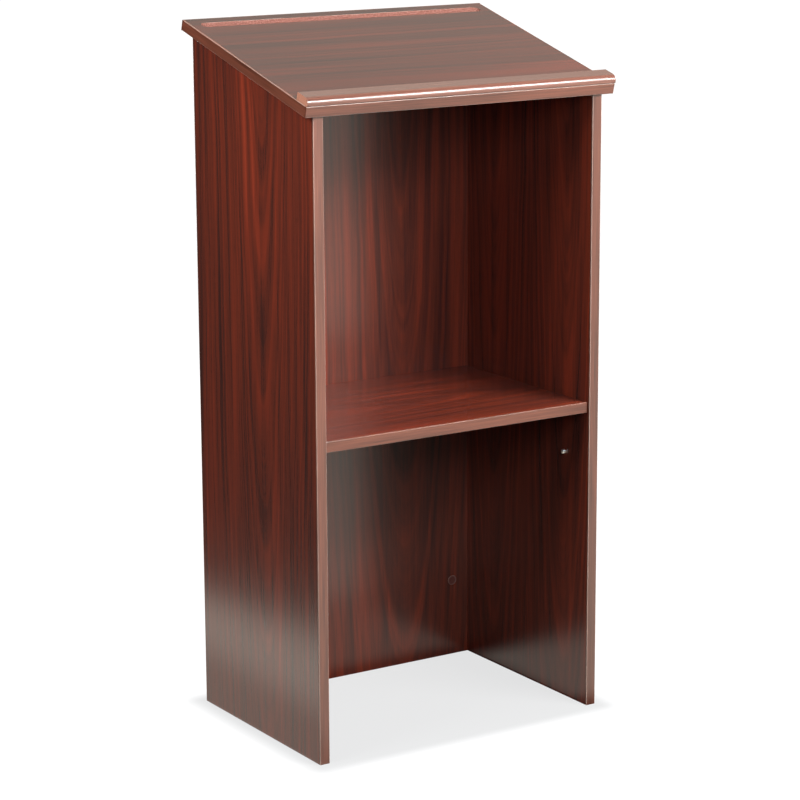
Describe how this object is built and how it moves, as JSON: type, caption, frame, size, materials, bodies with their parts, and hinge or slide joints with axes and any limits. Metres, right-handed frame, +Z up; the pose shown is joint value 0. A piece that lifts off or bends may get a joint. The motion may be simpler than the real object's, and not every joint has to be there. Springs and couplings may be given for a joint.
{
  "type": "lectern",
  "caption": "Free-standing lectern of laminated board: slanted top with paper stop and pencil groove, two sides, a back panel and a loose shelf, open towards the reader.",
  "frame": {"origin": "on the floor, at the middle of the bounding box's bottom", "axes": "+Z up, +Y away from the reader, so the back panel is on the +Y side, and +X to the reader's right"},
  "size_m": [0.584, 0.4, 1.168],
  "materials": {
    "laminate": "mahogany print on particle board, satin",
    "edge_band": "wood-coloured edge band, satin, lighter on its rounded corners",
    "stop_moulding": "foil-wrapped fibreboard moulding, glossy, raw at its ends",
    "nickel": "nickel plated",
    "die_cast_zinc": "as cast, dull",
    "plated_steel": "zinc plated",
    "cap_plastic": "satin",
    "beech": "plain fluted dowel rod"
  },
  "bodies": {
    "carcass": {"left_side_panel": "laminate", "left_side_front_band": "edge_band", "left_side_rear_band": "edge_band", "right_side_panel": "laminate", "right_side_front_band": "edge_band", "right_side_rear_band": "edge_band", "back_panel": "laminate", "top_panel": "laminate", "top_front_band": "edge_band", "top_rear_band": "edge_band", "top_left_band": "edge_band", "top_right_band": "edge_band", "paper_stop": "stop_moulding", "cam_bolt_back_left_lower": "plated_steel", "cam_cap_back_left_lower": "cap_plastic", "cam_bolt_back_left_upper": "plated_steel", "cam_cap_back_left_upper": "cap_plastic", "cam_bolt_back_right_lower": "plated_steel", "cam_cap_back_right_lower": "cap_plastic", "cam_bolt_back_right_upper": "plated_steel", "cam_cap_back_right_upper": "cap_plastic", "cam_bolt_top_left_front": "plated_steel", "cam_cap_top_left_front": "cap_plastic", "cam_bolt_top_left_rear": "plated_steel", "cam_cap_top_left_rear": "cap_plastic", "cam_bolt_top_right_front": "plated_steel", "cam_cap_top_right_front": "cap_plastic", "cam_bolt_top_right_rear": "plated_steel", "cam_cap_top_right_rear": "cap_plastic", "dowel_back_left_lower": "beech", "dowel_back_left_upper": "beech", "dowel_top_left_front": "beech", "shelf_pin_left_front": "nickel", "spare_pin_left_front": "nickel", "dowel_top_left_rear": "beech", "shelf_pin_left_rear": "nickel", "spare_pin_left_rear": "nickel", "dowel_back_right_lower": "beech", "dowel_back_right_upper": "beech", "dowel_top_right_front": "beech", "shelf_pin_right_front": "nickel", "spare_pin_right_front": "nickel", "dowel_top_right_rear": "beech", "shelf_pin_right_rear": "nickel", "spare_pin_right_rear": "nickel", "stop_screw_left": "plated_steel", "stop_screw_middle": "plated_steel", "stop_screw_right": "plated_steel"},
    "shelf": {"shelf_panel": "laminate", "shelf_front_band": "edge_band"},
    "cam_back_left_lower": {"cam_lock_back_left_lower": "die_cast_zinc"},
    "cam_back_left_upper": {"cam_lock_back_left_upper": "die_cast_zinc"},
    "cam_back_right_lower": {"cam_lock_back_right_lower": "die_cast_zinc"},
    "cam_back_right_upper": {"cam_lock_back_right_upper": "die_cast_zinc"},
    "cam_top_left_front": {"cam_lock_top_left_front": "die_cast_zinc"},
    "cam_top_left_rear": {"cam_lock_top_left_rear": "die_cast_zinc"},
    "cam_top_right_front": {"cam_lock_top_right_front": "die_cast_zinc"},
    "cam_top_right_rear": {"cam_lock_top_right_rear": "die_cast_zinc"}
  },
  "joints": [
    {"name": "shelf_slide", "type": "slide", "parent": "carcass", "child": "shelf", "axis": [0, -1, 0], "range_m": [0, 0.055]},
    {"name": "cam_turn_back_left_lower", "type": "hinge", "parent": "carcass", "child": "cam_back_left_lower", "pos_m": [-0.2225, 0.177, 0.139], "axis": [0, -1, 0], "range_deg": [-180, 0]},
    {"name": "cam_turn_back_left_upper", "type": "hinge", "parent": "carcass", "child": "cam_back_left_upper", "pos_m": [-0.2225, 0.177, 1.005], "axis": [0, -1, 0], "range_deg": [-180, 0]},
    {"name": "cam_turn_top_left_front", "type": "hinge", "parent": "carcass", "child": "cam_top_left_front", "pos_m": [-0.2565, -0.06997, 1.04327], "axis": [1, 0, 0], "range_deg": [-180, 0]},
    {"name": "cam_turn_top_left_rear", "type": "hinge", "parent": "carcass", "child": "cam_top_left_rear", "pos_m": [-0.2565, 0.10583, 1.09038], "axis": [1, 0, 0], "range_deg": [-180, 0]},
    {"name": "cam_turn_back_right_lower", "type": "hinge", "parent": "carcass", "child": "cam_back_right_lower", "pos_m": [0.2225, 0.177, 0.139], "axis": [0, -1, 0], "range_deg": [-180, 0]},
    {"name": "cam_turn_back_right_upper", "type": "hinge", "parent": "carcass", "child": "cam_back_right_upper", "pos_m": [0.2225, 0.177, 1.005], "axis": [0, -1, 0], "range_deg": [-180, 0]},
    {"name": "cam_turn_top_right_front", "type": "hinge", "parent": "carcass", "child": "cam_top_right_front", "pos_m": [0.2565, -0.06997, 1.04327], "axis": [-1, 0, 0], "range_deg": [-180, 0]},
    {"name": "cam_turn_top_right_rear", "type": "hinge", "parent": "carcass", "child": "cam_top_right_rear", "pos_m": [0.2565, 0.10583, 1.09038], "axis": [-1, 0, 0], "range_deg": [-180, 0]}
  ]
}
